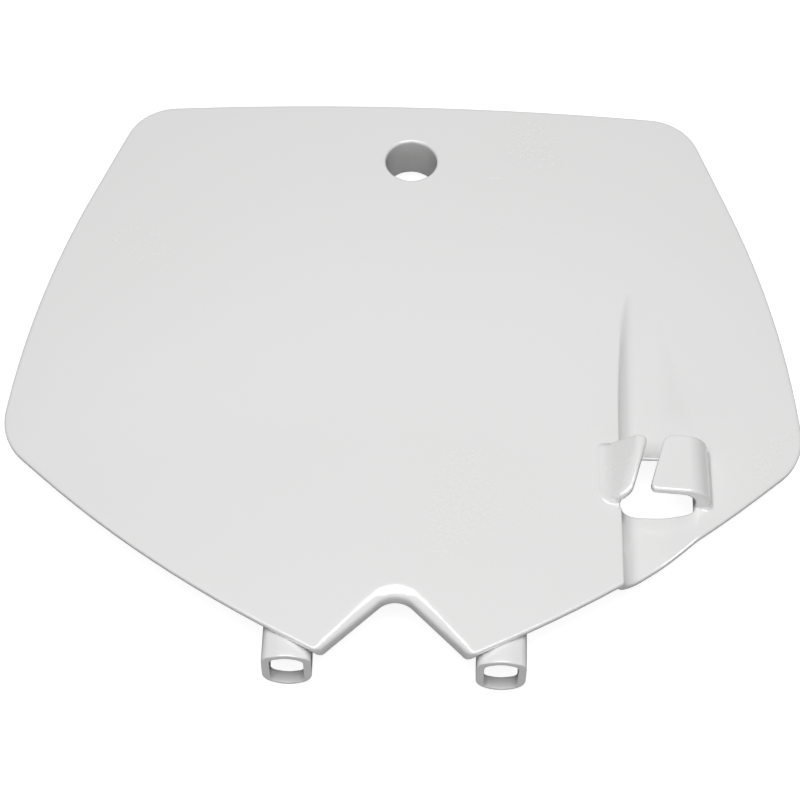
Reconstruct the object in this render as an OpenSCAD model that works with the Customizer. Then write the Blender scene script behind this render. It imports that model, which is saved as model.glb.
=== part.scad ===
// Racing number board: one white moulded plate with a bolt boss near its top edge,
// two eyelets behind its legs and a hose guide at its right-hand side.
// It lies on its back: +X right, +Y towards the top edge, +Z out of the front face.
// The origin is at the middle of its height and width, on the surface it lies on.

/* [Board outline] */
// Overall width across the side corners
board_w = 290; // [260:1:330]
// Overall height, from the top edge to the ends of the eyelets
board_h = 248; // [230:1:280]
// Distance of the top corner points in from the overall width, at each side
top_in = 36.5; // [28:0.5:46]
// Distance of the soft bend of the side edges in from the overall width
side_bend_in = 4; // [2:0.5:8]
// Height of the soft bend of the side edges, as a share of the overall height
side_bend_share = 0.629; // [0.58:0.001:0.67]
// Height of the side corners, as a share of the overall height
side_corner_share = 0.361; // [0.33:0.001:0.4]
// Distance of the soft bend of the lower edges in from the overall width
low_bend_in = 58; // [52:0.5:64]
// Height of the soft bend of the lower edges
low_bend_y = 34; // [31:0.5:37]
// Width between the points of the legs
leg_w = 51.8; // [48:0.2:56]
// Gap from the points of the legs down to the ends of the eyelets
leg_y = 0.9; // [0.4:0.1:3]
// Height of the point of the notch above the ends of the eyelets
notch_y = 26.8; // [20:0.2:32]
// Radius of the top corners
top_r = 19; // [8:1:24]
// Radius of the side corners
side_r = 27; // [12:1:34]
// Share of its shorter edge that the soft bend of the sides is rounded over
side_bend_soft = 0.94; // [0.4:0.01:0.96]
// Share of its shorter edge that the soft bend of the lower edges is rounded over
low_bend_soft = 0.84; // [0.4:0.01:0.96]
// Radius at the points of the legs
leg_r = 4; // [2:0.5:6]
// Radius at the top of the notch
notch_r = 8; // [4:0.5:11]

/* [Sheet] */
// Wall thickness of the plate
wall = 2.5; // [2:0.1:3.5]
// Radius that the front face is curved to from side to side
face_r = 1100; // [700:20:1500]
// Depth of the lip behind the notch, from the front face
lip_depth = 6.5; // [4:0.5:10]

/* [Bolt boss] */
// Distance of the boss down from the top edge
boss_in = 28.5; // [20:0.5:45]
// Diameter of the bore
boss_bore = 20; // [12:0.5:21]
// Outside diameter of the boss
boss_d = 26; // [24.5:0.5:32]
// Depth of the boss from the front face
boss_depth = 18; // [12:0.5:22]
// Radius of the rounded mouth
mouth_r = 1; // [0.5:0.1:1.5]

/* [Eyelets] */
// Spacing of the eyelets
lug_pitch = 72.6; // [66:0.2:80]
// Outside width of an eyelet
lug_w = 17; // [16:0.2:19]
// Depth of the eyelets behind the front face at the middle
lug_depth = 23; // [20:0.5:28]
// Wall at the sides of an eyelet
lug_side_wall = 2.7; // [2:0.1:3.5]
// Wall at the front and rear of an eyelet
lug_end_wall = 1.7; // [1.2:0.1:3]
// Length of the ring at the rear of an eyelet
lug_ring = 4.5; // [3:0.5:8]
// Length of an eyelet where it joins the plate
lug_root = 21; // [16:1:30]
// Length of an eyelet that stands clear of the plate at its sides
lug_clear = 12; // [8:0.5:15]
// Radius of an eyelet's rear
lug_rear_r = 9.8; // [9.3:0.1:14]
// Radius of an eyelet's front
lug_front_r = 13.6; // [10:0.2:20]
// Radius of the corners of an eyelet's hole
lug_hole_r = 3; // [2:0.1:3.2]
// How far the hole's front and rear bulge out between its corners
lug_bulge = 1.5; // [1:0.1:2]

/* [Hose channel] */
// Distance of the channel from the side of the board
guide_in = 54; // [50:0.5:60]
// Width of the channel at the front face
channel_w = 26.4; // [24:0.2:28]
// Depth of the channel
channel_depth = 5.8; // [3:0.2:8]
// Lean of the channel's left wall, in degrees
channel_lean = 3.3; // [2:0.1:6]
// Radius where the left wall turns into the floor
channel_left_r = 7; // [4:0.5:8]
// Radius where the floor turns into the right slope
channel_right_r = 20; // [10:1:24]
// Rise of the floor from the left wall to the right slope
floor_rise = 0.8; // [0:0.1:1.5]
// Slope of the channel's right side, in degrees
right_slope = 25; // [22:0.5:32]
// Height at which the channel starts to rise to the front face
ramp_y = 103; // [95:1:115]
// Slope of the rising part of the channel, in degrees
ramp_angle = 5.4; // [4:0.1:7]

/* [Hooks] */
// Height of the lower end of the hooks above the ends of the eyelets
hook_y = 65; // [63:0.5:68]
// Length of the hooks
hook_len = 23.8; // [18:0.2:26]
// Height of the hooks above the front face
hook_h = 10; // [8:0.5:13]
// Thickness of the hooks
hook_t = 3; // [2:0.1:3.6]
// Distance that the left hook takes to rise from the front face
hook_run = 13; // [10:0.5:15]
// Distance of the left hook's foot from the channel
hook_foot_in = 6.3; // [5.5:0.1:8]
// Distance of the right hook's outside from the channel
hook_side_in = 4.8; // [4:0.1:6]
// Radius of the hooks' outer corners
crown_r = 9; // [7:0.5:9.5]
// Radius of the fillet at the left hook's foot
foot_r = 14; // [8:1:16]
// Width of the gap between the two hooks
slot_w = 5.4; // [3:0.2:7]
// Place of the gap at its middle, from the middle of the channel
slot_x = -4.3; // [-6:0.1:-2.5]
// Slant of the gap between the hooks, in degrees
slot_slant = 15; // [0:1:20]
// Length of the window behind the hooks
window_len = 24.7; // [20:0.1:26]
// Width of the window
window_w = 26; // [22:0.2:26.2]
// How far the window starts below the hooks
window_drop = 2.2; // [1:0.1:4]

/* [Hidden] */

plastic = "white";
// Small overlap where one solid is sunk into another
sink = 0.5;
// Sides of the large cylinder that curves the plate
face_fn = 720;
// Sides of the small round features
round_fn = 96;
// Steps of a rounded corner of an outline
corner_n = 10;
// Steps of the rounded mouth of the bore
mouth_n = 6;
// Angle of the arc of that mouth, which is short of the face so that it never touches it flat
mouth_turn = 60;
// Length and depth that surely reach past the board
reach = 400;

// The front face at the middle of the board lies this high above the surface
face_z = lug_depth;
// Levels measured from the middle of the height
low = -board_h / 2;

function unit(v) = v / norm(v);
function flat(v) = [v[0], v[1]];
function cross2(a, b) = a[0] * b[1] - a[1] * b[0];
function wrap(list, i) = list[(i + len(list)) % len(list)];

// Points of one rounded corner v between its neighbours a and b
function corner(a, v, b, r, n) =
    let (
        p = flat(v),
        ua = unit(flat(a) - p),
        ub = unit(flat(b) - p),
        half = acos(ua * ub) / 2,
        back = r / tan(half),
        centre = p + unit(ua + ub) * r / sin(half),
        start = p + ua * back - centre,
        turn = (180 - 2 * half) * sign(cross2(ub, ua))
    )
    r <= 0 ? [p] : [
        for (i = [0:n])
            let (t = turn * i / n)
            centre + [
                start[0] * cos(t) - start[1] * sin(t),
                start[0] * sin(t) + start[1] * cos(t)
            ]
    ];

// A closed outline from corner points [x, y, radius]
function rounded(cp, n = corner_n) = [
    for (i = [0:len(cp) - 1])
        each corner(wrap(cp, i - 1), cp[i], wrap(cp, i + 1), cp[i][2], n)
];

// The same corner points moved outwards by d, for an outline that runs anticlockwise
function grown(cp, d) = [
    for (i = [0:len(cp) - 1])
        let (
            p = flat(cp[i]),
            ua = unit(p - flat(wrap(cp, i - 1))),
            ub = unit(flat(wrap(cp, i + 1)) - p),
            na = [ua[1], -ua[0]],
            nb = [ub[1], -ub[0]],
            m = unit(na + nb),
            moved = p + m * d / (m * na)
        )
        [moved[0], moved[1], max(0, cp[i][2] + d * sign(cross2(ua, ub)))]
];

// The side corner point lies outside the overall width by what its radius takes off
function corner_reach(a, v, b, r) =
    let (
        ua = unit(a - v),
        ub = unit(b - v),
        half = acos(ua * ub) / 2
    )
    -(unit(ua + ub)[0] * r / sin(half) + r);

// Half of the angle at a corner v, and the length of edge that its rounding takes up
function half_angle(a, v, b) = acos(unit(a - v) * unit(b - v)) / 2;
function corner_back(a, v, b, r) = r / tan(half_angle(a, v, b));

// Radius of a soft bend v that takes a share of what its neighbours' roundings leave free
function soft_r(a, v, b, back_a, back_b, share) =
    share * min(norm(a - v) - back_a, norm(b - v) - back_b) * tan(half_angle(a, v, b));

boss_y = -low - boss_in;
peak = [0, low + notch_y];
leg = [leg_w / 2, low + leg_y];
low_bend = [board_w / 2 - low_bend_in, low + low_bend_y];
side_bend = [board_w / 2 - side_bend_in, low + board_h * side_bend_share];
top = [board_w / 2 - top_in, -low];
side_y = low + board_h * side_corner_share;
first_reach = corner_reach(side_bend, [board_w / 2, side_y], low_bend, side_r);
side_x = board_w / 2 + corner_reach(side_bend, [board_w / 2 + first_reach, side_y], low_bend, side_r);
side = [side_x, side_y];

leg_back = corner_back(peak, leg, low_bend, leg_r);
side_back = corner_back(low_bend, side, side_bend, side_r);
top_back = corner_back(side_bend, top, [-top[0], top[1]], top_r);

right_half = [
    [leg[0], leg[1], leg_r],
    [low_bend[0], low_bend[1], soft_r(leg, low_bend, side, leg_back, side_back, low_bend_soft)],
    [side[0], side[1], side_r],
    [side_bend[0], side_bend[1], soft_r(side, side_bend, top, side_back, top_back, side_bend_soft)],
    [top[0], top[1], top_r]
];
left_half = [for (i = [len(right_half) - 1:-1:0]) [-right_half[i][0], right_half[i][1], right_half[i][2]]];
outline = concat([[peak[0], peak[1], notch_r]], right_half, left_half);

// The notch as a triangle, which the lip follows inside the plate
notch = [
    [-leg[0], leg[1], 0],
    [leg[0], leg[1], 0],
    [peak[0], peak[1], notch_r]
];

// How far the front face has dropped at a distance from the middle of the board
function face_drop(x) = face_r - sqrt(face_r * face_r - x * x);

// A prism of the board's outline, as deep as needed
module outline_prism() {
    translate([0, 0, -reach / 2])
        linear_extrude(reach)
            polygon(rounded(outline));
}

// Everything that lies behind the curved front face, less a depth from it
module behind_face(depth = 0) {
    translate([0, 0, face_z - face_r])
        rotate([90, 0, 0])
            cylinder(r = face_r - depth, h = reach, center = true, $fn = face_fn);
}

// The curved plate inside the outline
module plate() {
    intersection() {
        outline_prism();
        difference() {
            behind_face();
            behind_face(wall);
        }
    }
}

// The lip that turns back along the notch
module notch_lip() {
    intersection() {
        outline_prism();
        translate([0, 0, face_z - lip_depth])
            linear_extrude(lip_depth - wall / 2)
                polygon(rounded(grown(notch, wall)));
    }
}

// The tube that stands behind the bolt hole
module boss() {
    translate([0, boss_y, face_z - boss_depth])
        cylinder(d = boss_d, h = boss_depth - wall / 2, $fn = round_fn);
}

// The bore with its rounded mouth, as one turned shape
module boss_hole() {
    bore_r = boss_bore / 2;
    mouth = [
        for (i = [0:mouth_n])
            let (t = mouth_turn * i / mouth_n)
            [bore_r + mouth_r * (1 - cos(t)), mouth_r * (sin(t) - 1)]
    ];
    // Past the arc the mouth leaves the face at a slope, never along it
    lip_out = (sink - mouth[mouth_n].y) * tan(mouth_turn);
    translate([0, boss_y, face_z])
        rotate_extrude($fn = round_fn)
            polygon(concat(
                [[0, sink], [0, -boss_depth - sink], [bore_r, -boss_depth - sink]],
                mouth,
                [[mouth[mouth_n].x + lip_out, sink]]
            ));
}

// Crest of an eyelet, which is sunk a little into the back of the plate
lug_top = face_z - wall - face_drop(lug_pitch / 2) + sink;
lug_rise = lug_top - lug_end_wall - sink;
lug_hole_w = lug_w - 2 * lug_side_wall;
lug_hole_mid_r = lug_rear_r - lug_end_wall;
// What the rounding takes off the middle points of the hole
lug_hole_cut = lug_hole_mid_r * (norm([lug_hole_w / 2, lug_bulge]) / (lug_hole_w / 2) - 1);

// Corner points of the hole through an eyelet, in X and Z
lug_hole_points = [
    [0, lug_end_wall - lug_hole_cut, lug_hole_mid_r],
    [lug_hole_w / 2, lug_end_wall + lug_bulge, lug_hole_r],
    [lug_hole_w / 2, lug_rise - lug_bulge, lug_hole_r],
    [0, lug_rise + lug_hole_cut, lug_hole_mid_r],
    [-lug_hole_w / 2, lug_rise - lug_bulge, lug_hole_r],
    [-lug_hole_w / 2, lug_end_wall + lug_bulge, lug_hole_r]
];

// Stands its children, drawn in X and Z, along a length of the board from a height up
module along_board(from_y, length) {
    translate([0, from_y + length, 0])
        rotate([90, 0, 0])
            linear_extrude(length)
                children();
}

// An eyelet: a ring at the rear whose front wall runs up behind the leg
module lug() {
    difference() {
        union() {
            along_board(low, lug_root)
                intersection() {
                    translate([0, lug_rear_r])
                        circle(r = lug_rear_r, $fn = round_fn);
                    translate([0, lug_top - lug_front_r])
                        circle(r = lug_front_r, $fn = round_fn);
                    translate([-lug_w / 2, 0])
                        square([lug_w, lug_top]);
                }
            translate([-lug_w / 2, low + lug_clear, lug_rise / 2])
                cube([lug_w, lug_root - lug_clear, face_z - wall / 2 - lug_rise / 2]);
        }
        along_board(low - sink, lug_root + 2 * sink)
            polygon(rounded(lug_hole_points));
        lug_slope();
    }
}

// What is cut away behind an eyelet, so that its rear wall is only a ring
module lug_slope() {
    translate([-lug_w, low, 0])
        rotate([90, 0, 90])
            linear_extrude(2 * lug_w)
                polygon([
                    [lug_ring, -sink],
                    [lug_ring, lug_end_wall],
                    [lug_root + sink, lug_rise],
                    [lug_root + sink, -sink]
                ]);
}

module lugs() {
    for (side = [-1, 1])
        translate([side * lug_pitch / 2, 0, 0])
            lug();
}

guide_x = board_w / 2 - guide_in;

// Places its children on the front face at the guide, with +Z out of the face
module at_guide() {
    translate([0, 0, face_z - face_r])
        rotate([0, asin(guide_x / face_r), 0])
            translate([0, 0, face_r])
                children();
}

// The hose channel's inside: a steep left wall, a round floor and a long right slope
channel_half = channel_w / 2;
floor_deep = channel_depth - floor_rise;
channel = [
    [-channel_half - hook_h * tan(channel_lean), hook_h, 0],
    [-channel_half + channel_depth * tan(channel_lean), -channel_depth, channel_left_r],
    [channel_half - floor_deep / tan(right_slope), -floor_deep, channel_right_r],
    [channel_half + hook_h / tan(right_slope), hook_h, 0]
];

// The channel runs level past the hooks and then rises to the front face
module channel_run(points) {
    along_board(low - sink, ramp_y + sink)
        polygon(points);
    translate([0, low + ramp_y, 0])
        rotate([ramp_angle, 0, 0])
            along_board(-sink, reach / 3)
                polygon(points);
}

// The wall that carries the channel behind the plate
module channel_back() {
    intersection() {
        outline_prism();
        behind_face(wall / 2);
        at_guide()
            channel_run(rounded(grown(channel, wall)));
    }
}

// The hooks' feet run out to thin edges this far on, just below the front face
foot_run = 7.5;
side_run = 4;
side_foot_r = 1.5;
edge_sink = 0.1;

// Outside of the hooks, from the foot of the left one over to the foot of the right one
hook_slope = hook_h / hook_run;
hook_foot = -channel_half - hook_foot_in;
hook_side = channel_half + hook_side_in;
foot_end = hook_foot - foot_run;
side_end = hook_side + side_run;
hook_outside = [
    [foot_end, -wall / 2, 0],
    [side_end, -wall / 2, 0],
    [side_end, -face_drop(side_end) - edge_sink, 0],
    [hook_side + side_foot_r / 5, -face_drop(hook_side), side_foot_r],
    [hook_side, hook_h, crown_r],
    [hook_foot + hook_run, hook_h, crown_r],
    [hook_foot, -face_drop(hook_foot), foot_r],
    [foot_end, -face_drop(foot_end) - edge_sink, 0]
];

// Thickness of the left hook's slope, measured across the board
hook_across = hook_t * norm([hook_run, hook_h]) / hook_h;
hook_inner_r = crown_r - hook_t;

// The space for the hose inside the hooks
hose_top = hook_h - hook_t;
window_left = -channel_half;
window_right = window_left + window_w;
hose_space = [
    [window_left, -wall / 2 - sink, 0],
    [window_right, -wall / 2 - sink, 0],
    [window_right, hose_top, hook_inner_r],
    [hook_foot + hose_top / hook_slope + hook_across, hose_top, hook_inner_r],
    [window_left, (window_left - hook_foot - hook_across) * hook_slope, hook_t / 2]
];

// The two hooks, parted by their slanted gap
module hooks() {
    at_guide()
        difference() {
            along_board(low + hook_y, hook_len)
                polygon(rounded(hook_outside));
            along_board(low + hook_y - sink, hook_len + 2 * sink)
                polygon(rounded(hose_space));
            translate([slot_x, low + hook_y + hook_len / 2, hook_h / 2])
                rotate([0, 0, -slot_slant])
                    cube([slot_w, 2 * hook_len, 2 * hook_h], center = true);
        }
}

// The window in the channel, behind the hooks
module window() {
    depth = channel_depth + 3 * wall;
    at_guide()
        along_board(low + hook_y - window_drop, window_len)
            translate([window_left, -depth])
                square([window_w, depth + sink]);
}

module number_board() {
    difference() {
        union() {
            difference() {
                union() {
                    plate();
                    channel_back();
                }
                at_guide()
                    channel_run(rounded(channel));
            }
            notch_lip();
            boss();
            lugs();
            hooks();
        }
        boss_hole();
        window();
    }
}

color(plastic)
        number_board();
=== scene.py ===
"""A racing number board: one white moulded sheet with a bolt boss, two eyelets and a hose guide.

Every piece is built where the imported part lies: +X right, +Y towards the top edge, +Z out of the
front face, in metres. The sheet is drawn flat, pressed, and bent to the radius of the front face.
"""

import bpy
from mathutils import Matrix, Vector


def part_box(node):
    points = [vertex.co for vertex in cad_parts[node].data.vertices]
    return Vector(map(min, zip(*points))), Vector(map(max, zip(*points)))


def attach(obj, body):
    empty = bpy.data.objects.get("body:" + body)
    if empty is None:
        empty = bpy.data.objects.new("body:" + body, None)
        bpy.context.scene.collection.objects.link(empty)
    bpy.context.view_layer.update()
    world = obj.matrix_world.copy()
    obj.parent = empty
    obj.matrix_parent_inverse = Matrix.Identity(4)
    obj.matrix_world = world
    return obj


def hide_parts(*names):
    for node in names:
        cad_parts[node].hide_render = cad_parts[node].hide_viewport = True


bl_info = {
    "name": "Racing Number Board",
    "version": (1, 0, 0),
    "blender": (4, 5, 0),
    "location": "3D View > Sidebar > Number Board",
    "description": "Builds a moulded number board with its boss, eyelets and hose guide",
    "category": "Add Mesh",
}

from functools import lru_cache
from math import asin, cos, pi, radians, sin, sqrt, tan

import bmesh
import bpy
import numpy as np
from bmesh.types import BMEdge, BMFace, BMVert
from bpy.props import FloatProperty, FloatVectorProperty, IntProperty, PointerProperty
from mathutils import Matrix, Vector

NODE = "number_board"
BODY = "root"
LOOK = "moulded_white"
MM = 0.001
Z_AXIS = Vector((0, 0, 1))
UPRIGHT = Matrix.Rotation(pi / 2, 3, "X")

# Steps of the floor's height and of the path across the hose channel
RISE_STEP = 0.02 * MM
SECTION_STEP = 0.1 * MM

# Tolerance of a radius on the boss, and the distances within which corner points are merged
CLOSE = 0.01 * MM
SLICE_MERGE, MERGE = 0.03 * MM, 0.04 * MM

# Edges that turn by more than this stay crisp, and edges of the eyelets above the other are rounded
CRISP = radians(50)
ROUNDED = radians(30)

# Rounding of a hook's corners at the tip and at the lower end of the slot, seen from the front
LEFT_TIP, LEFT_END = 1.8 * MM, 5.0 * MM
RIGHT_TIP, RIGHT_END = 4.5 * MM, 2.0 * MM
FOOT_SHARE = 0.7
CORNER_CUTS = 7

# How far the section of the hooks runs on inside the sheet, at the left foot and the right side
FOOT_OVERLAP, SIDE_OVERLAP = 7.5 * MM, 4 * MM

# Heights above the sheet between which a hook is clear of it, and between which its root lies
CLEAR_FROM = 2.2 * MM
ROOT_FROM, ROOT_TO = -0.3 * MM, 2.4 * MM
# Rounds of smoothing of the whole hook, its lower end, the lip at the slot and the root
SMOOTH_ALL, SMOOTH_END, SMOOTH_LIP, SMOOTH_ROOT = 8, 12, 30, 50
# How far the lower end and the lip reach into the hook
END_REACH, LIP_ZONE = 2.5 * MM, 4 * MM
# Height at which the skirt lies on the sheet, and how far its border is sunk below that
SKIRT_LEVEL, SKIRT_SINK = 0.01 * MM, 0.06 * MM

# Inputs of a mix node for colours: share, first and second colour
MIX_SHARE, MIX_FIRST, MIX_SECOND = 0, 6, 7

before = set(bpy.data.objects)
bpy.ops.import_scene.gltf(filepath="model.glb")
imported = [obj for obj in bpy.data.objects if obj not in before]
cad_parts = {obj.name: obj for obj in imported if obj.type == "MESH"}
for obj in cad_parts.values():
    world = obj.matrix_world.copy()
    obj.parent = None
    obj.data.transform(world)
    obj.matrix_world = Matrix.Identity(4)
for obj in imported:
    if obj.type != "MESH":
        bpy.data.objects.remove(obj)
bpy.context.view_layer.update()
board_low, board_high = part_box(NODE)


def length(name, description, default, **more):
    """A length in metres that shows in the sidebar."""
    return FloatProperty(
        name=name, description=description, default=default, unit="LENGTH", precision=4, **more
    )


def angle(name, description, degrees):
    """An angle that shows in the sidebar."""
    return FloatProperty(name=name, description=description, default=radians(degrees),
                         subtype="ANGLE")


def number(name, description, default):
    """A plain number that shows in the sidebar."""
    return FloatProperty(name=name, description=description, default=default)


def colour(name, description, default):
    """A colour that shows in the sidebar."""
    return FloatVectorProperty(name=name, description=description, default=default,
                               subtype="COLOR")


class BoardOutlineSizes(bpy.types.PropertyGroup):
    """Outline of the board, seen from the front"""

    width: length("Width", "Overall width across the side corners", board_high.x - board_low.x)
    height: length("Height", "From the top edge to the ends of the eyelets",
                   board_high.y - board_low.y)
    top_width: length("Top width", "Width of the top edge between its corner points", 217 * MM)
    side_bend_width: length("Side bend width", "Width at the soft bend of the sides", 282 * MM)
    side_bend_height: length("Side bend height", "Height of the soft side bend", 156 * MM)
    side_corner_height: length("Side corner height", "Height of the side corners", 89.5 * MM)
    low_bend_width: length("Low bend width", "Width at the soft bend of the lower edges", 174 * MM)
    low_bend_height: length("Low bend height", "Height of the soft lower bend", 34 * MM)
    leg_width: length("Leg width", "Width between the points of the legs", 51.8 * MM)
    leg_height: length("Leg height", "Height of the points of the legs", 0.9 * MM)
    notch_height: length("Notch height", "Height of the point of the notch", 26.8 * MM)
    top_radius: length("Top radius", "Radius of the top corners", 19 * MM)
    side_radius: length("Side radius", "Radius of the side corners", 27 * MM)
    side_bend_radius: length("Side bend radius", "Radius of the soft side bend", 380 * MM)
    low_bend_radius: length("Low bend radius", "Radius of the soft lower bend", 430 * MM)
    leg_radius: length("Leg radius", "Radius at the points of the legs", 4 * MM)
    notch_radius: length("Notch radius", "Radius at the point of the notch", 8 * MM)


class SheetSizes(bpy.types.PropertyGroup):
    """Thickness, curve and edges of the sheet"""

    wall: length("Wall", "Thickness of the sheet", 2.5 * MM)
    face_radius: length("Face radius", "Radius that the front face is bent to", 1.1)
    face_height: length("Face height", "Height of the front face at the middle", 23 * MM)
    edge_radius: length("Edge radius", "Rounding along the edge of the sheet", 0.8 * MM)
    roll_slow: length("Slow roll", "Radius at which the rim of the notch leaves the face", 8 * MM)
    roll_quick: length("Quick roll", "Radius at which that rim turns down to its lip", 1.3 * MM)
    roll_lean: angle("Roll lean", "Lean of the rim between the two radii", 35)
    roll_end: number("Roll at the legs", "Share of those radii that is left at the legs", 0.55)
    lip_depth: length("Lip depth", "Depth of the rolled rim below the front face", 6.5 * MM)
    pitch: length("Mesh pitch", "Spacing of the mesh across the sheet", 4 * MM)
    fine_pitch: length("Fine pitch", "Spacing of the mesh at the guide and the notch", 1 * MM)


class BossSizes(bpy.types.PropertyGroup):
    """Bolt boss and its bore"""

    height: length("Boss height", "Height of the boss above the ends of the eyelets", 219.5 * MM)
    bore: length("Bore", "Diameter of the bore", 20 * MM)
    diameter: length("Diameter", "Outside diameter of the boss", 26 * MM)
    depth: length("Depth", "Depth of the boss from the front face", 18 * MM)
    mouth_radius: length("Mouth radius", "Rounding of the mouth of the bore", 1 * MM)
    root_radius: length("Root radius", "Fillet between the boss and the sheet", 1.5 * MM)
    sides: IntProperty(name="Sides", description="Sides of the turned surfaces", default=72)


class EyeletSizes(bpy.types.PropertyGroup):
    """Two eyelets behind the legs"""

    spacing: length("Spacing", "Spacing of the eyelets", 72.6 * MM)
    width: length("Width", "Outside width of an eyelet", 17 * MM)
    side_wall: length("Side wall", "Wall at the sides of an eyelet", 2.7 * MM)
    end_wall: length("End wall", "Wall at the front and rear of an eyelet", 1.7 * MM)
    ring: length("Ring", "Length of the ring at the rear", 4.5 * MM)
    ring_height: length("Ring height", "Height up to which the ring ends square", 7 * MM)
    root: length("Root", "Length of an eyelet where it joins the sheet", 21 * MM)
    edge_radius: length("Edge radius", "Rounding of the edges of an eyelet", 0.7 * MM)


class ChannelSizes(bpy.types.PropertyGroup):
    """Hose channel and its window"""

    x: length("Place", "Distance of the channel from the middle of the board", 91 * MM)
    width: length("Width", "Width of the channel at the front face", 26.4 * MM)
    depth: length("Depth", "Depth of the channel", 5.8 * MM)
    left_lean: angle("Left lean", "Lean of the left wall", 3.3)
    left_radius: length("Left radius", "Radius from the left wall to the floor", 7 * MM)
    right_radius: length("Right radius", "Radius from the floor to the right slope", 20 * MM)
    floor_rise: length("Floor rise", "Rise of the floor towards the right slope", 0.8 * MM)
    right_slope: angle("Right slope", "Slope of the right side", 25)
    left_soft: length("Left edge", "Rounding of the left edge at the face", 0.7 * MM)
    right_soft: length("Right edge", "Rounding of the right edge at the face", 1.5 * MM)
    ramp_height: length("Ramp height", "Height at which the floor starts to rise", 103 * MM)
    ramp_slope: angle("Ramp slope", "Slope of the rising floor", 5.4)
    window_height: length("Window height", "Height of the lower end of the window", 62.8 * MM)
    window_length: length("Window length", "Length of the window", 24.7 * MM)
    window_width: length("Window width", "Width of the window", 26 * MM)
    undercut: length("Undercut", "Set-back of the window's upper edge at the rear", 3.2 * MM)
    undercut_run: length("Undercut run", "Distance over which that set-back fades", 9 * MM)


class HookSizes(bpy.types.PropertyGroup):
    """The two hooks over the window"""

    height: length("Height", "Height of the lower end of the hooks", 65 * MM)
    length: length("Length", "Length of the hooks along the channel", 23.8 * MM)
    rise: length("Rise", "Height of the hooks above the front face", 10 * MM)
    wall: length("Wall", "Thickness of the hooks", 3 * MM)
    run: length("Run", "Distance over which the left hook rises", 13 * MM)
    foot_in: length("Foot", "Distance of the left foot from the channel", 6.3 * MM)
    side_in: length("Side", "Distance of the right side from the channel", 4.8 * MM)
    crown_radius: length("Crown radius", "Radius of the outer corners", 9 * MM)
    foot_radius: length("Foot radius", "Fillet at the left foot", 14 * MM)
    slot_width: length("Slot width", "Gap between the two hooks", 5.4 * MM)
    slot_place: length("Slot place", "Place of the gap from the middle", -4.3 * MM)
    slot_slant: angle("Slot slant", "Slant of the gap", 15)
    corner_radius: length("Corner radius", "Rounding of the lower corner of the left foot", 4 * MM)
    lip_fall: length("Lip fall", "How far the left hook curls down along the gap", 1.8 * MM)
    lip_reach: length("Lip reach", "Distance over which it curls down", 5 * MM)
    skirt: length("Skirt", "Reach of the fillet round the roots of the hooks", 4 * MM)
    skin_pitch: length("Skin pitch", "Mesh spacing of the hooks' smooth skin", 0.35 * MM)


class PlasticLook(bpy.types.PropertyGroup):
    """Colour and gloss of the moulded plastic"""

    tint: colour("Colour", "Colour of the plastic", (0.79, 0.79, 0.788))
    aged_tint: colour("Aged colour", "Colour of the faint patches", (0.778, 0.777, 0.772))
    roughness: number("Roughness", "Roughness of the clean surface", 0.22)
    coat: number("Coat", "Gloss of the moulding skin", 1.0)
    waviness: length("Waviness", "Depth of the slow waves of the moulded surface", 0.02 * MM)


class StageLook(bpy.types.PropertyGroup):
    """Floor, lights and camera"""

    floor_colour: colour("Floor colour", "Colour of the floor", (0.30, 0.30, 0.30))
    floor_glow: number("Floor glow", "How far the floor is lit up white", 0.9)
    sky: number("Sky", "Strength of the even light from all sides", 0.06)
    floor_side: length("Floor side", "Side of the square floor", 6.0)
    floor_gap: length("Floor gap", "Gap between the floor and the board", 0.1 * MM)
    camera_place: FloatVectorProperty(name="Camera place", description="Place of the camera",
                                      default=(9.39 * MM, -479.2 * MM, 670.5 * MM),
                                      subtype="TRANSLATION", unit="LENGTH")
    azimuth: angle("Azimuth", "Camera's turn about the board", 1.298)
    elevation: angle("Elevation", "Camera's height above the floor", 54.62)
    roll: angle("Roll", "Camera's turn about its own axis", 0.505)
    lens: number("Lens", "Focal length in millimetres", 99.0)


def rounded_corner(before, point, after, radius):
    """Start, centre and signed turn of the arc that rounds a corner."""
    to_before = (before - point).normalized()
    to_after = (after - point).normalized()
    half = to_before.angle(to_after) / 2
    centre = point + (to_before + to_after).normalized() * radius / sin(half)
    start = point + to_before * radius / tan(half)
    turn = (pi - 2 * half) * (-1 if to_before.cross(to_after).z > 0 else 1)
    return start, centre, turn


def only(kind, found):
    """The parts of one kind among those that an operator gives back."""
    return [g for g in found if isinstance(g, kind)]


def draw_out(bm, face, start, reach):
    """Stands a flat section up at a height on the board and draws it out along the board."""
    bmesh.ops.rotate(bm, verts=face.verts, cent=(0, 0, 0), matrix=UPRIGHT)
    bmesh.ops.translate(bm, verts=face.verts, vec=(0, start, 0))
    grown = bmesh.ops.extrude_face_region(bm, geom=[face])["geom"]
    bmesh.ops.translate(bm, verts=only(BMVert, grown), vec=(0, reach, 0))
    bmesh.ops.recalc_face_normals(bm, faces=bm.faces)


def cut_away(bm, place, normal, **side):
    """Cuts a solid along a plane, drops one side and closes the cut."""
    cut = bmesh.ops.bisect_plane(bm, geom=[*bm.verts, *bm.edges, *bm.faces], dist=1e-6,
                                 plane_co=place, plane_no=normal, **side)
    bmesh.ops.edgeloop_fill(bm, edges=only(BMEdge, cut["geom_cut"]))


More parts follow.
